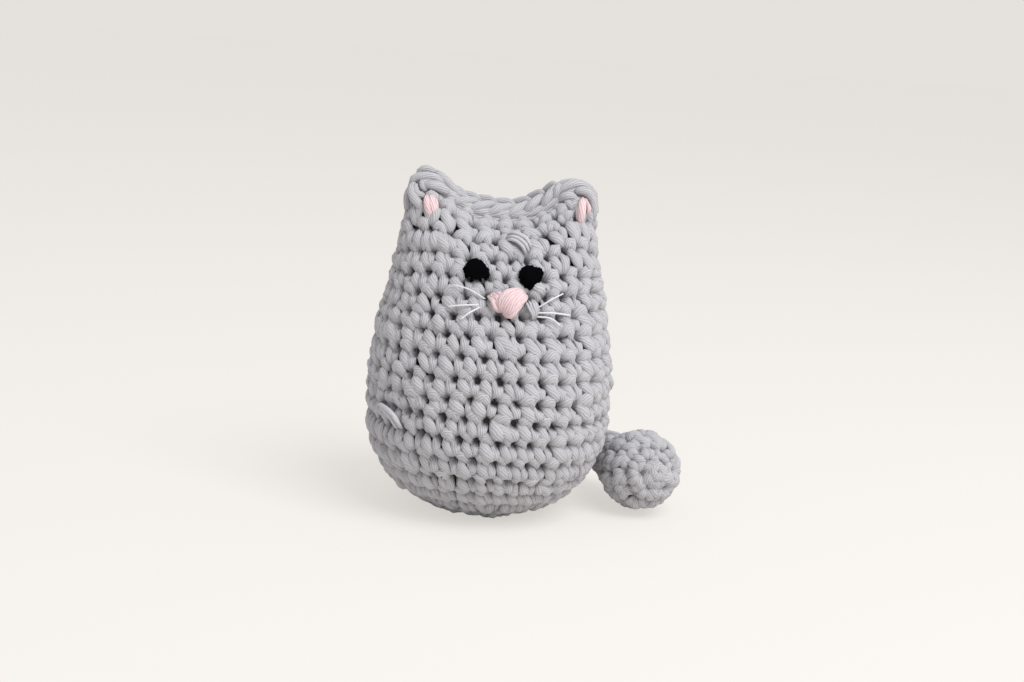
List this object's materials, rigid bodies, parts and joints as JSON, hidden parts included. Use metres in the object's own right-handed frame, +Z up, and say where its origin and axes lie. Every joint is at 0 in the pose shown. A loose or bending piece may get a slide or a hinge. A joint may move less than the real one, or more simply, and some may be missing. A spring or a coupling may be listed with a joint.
{
  "type": "crochet cat toy",
  "caption": "Small stuffed crochet cat that sits on a flat base, with pinched-up ears, an embroidered face, thread whiskers and a stuffed tail sewn to one side",
  "frame": {"origin": "The middle of the flat base, on the surface that the cat stands on", "axes": "+Z up through the body to the top seam, -Y the way the face looks, +X to the side of the tail"},
  "size_m": [0.0686, 0.051, 0.0706],
  "materials": {
    "grey_yarn": "matte cotton yarn in single crochet",
    "stuffing": "loose polyester fibre",
    "black_floss": "stranded embroidery cotton in satin stitch",
    "pink_yarn": "soft pink yarn in satin stitch",
    "white_thread": "smooth sewing thread"
  },
  "bodies": {
    "body": {"body_cover": "grey_yarn", "body_stuffing": "stuffing", "top_seam": "grey_yarn", "left_eye": "black_floss", "right_eye": "black_floss", "nose": "pink_yarn", "left_inner_ear": "pink_yarn", "right_inner_ear": "pink_yarn", "left_whisker_upper": "white_thread", "left_whisker_middle": "white_thread", "left_whisker_lower": "white_thread", "right_whisker_upper": "white_thread", "right_whisker_middle": "white_thread", "right_whisker_lower": "white_thread", "darned_end_forehead": "grey_yarn", "darned_end_side": "grey_yarn", "tail_stitch_ring": "grey_yarn"},
    "knot": {"tail_sewing_knot": "grey_yarn"},
    "tail": {"tail_cover": "grey_yarn", "tail_stuffing": "stuffing"}
  },
  "joints": [
    {"name": "tail_swing", "type": "hinge", "parent": "body", "child": "knot", "pos_m": [0.01648, 0.0183, 0.0104], "axis": [0, 0, 1], "range_deg": [0, 40], "stiffness_Nm_per_rad": 0.01},
    {"name": "tail_lift", "type": "hinge", "parent": "knot", "child": "tail", "pos_m": [0.01648, 0.0183, 0.0104], "axis": [-0.6, -0.58, 0.551], "range_deg": [0, 30], "stiffness_Nm_per_rad": 0.01}
  ]
}
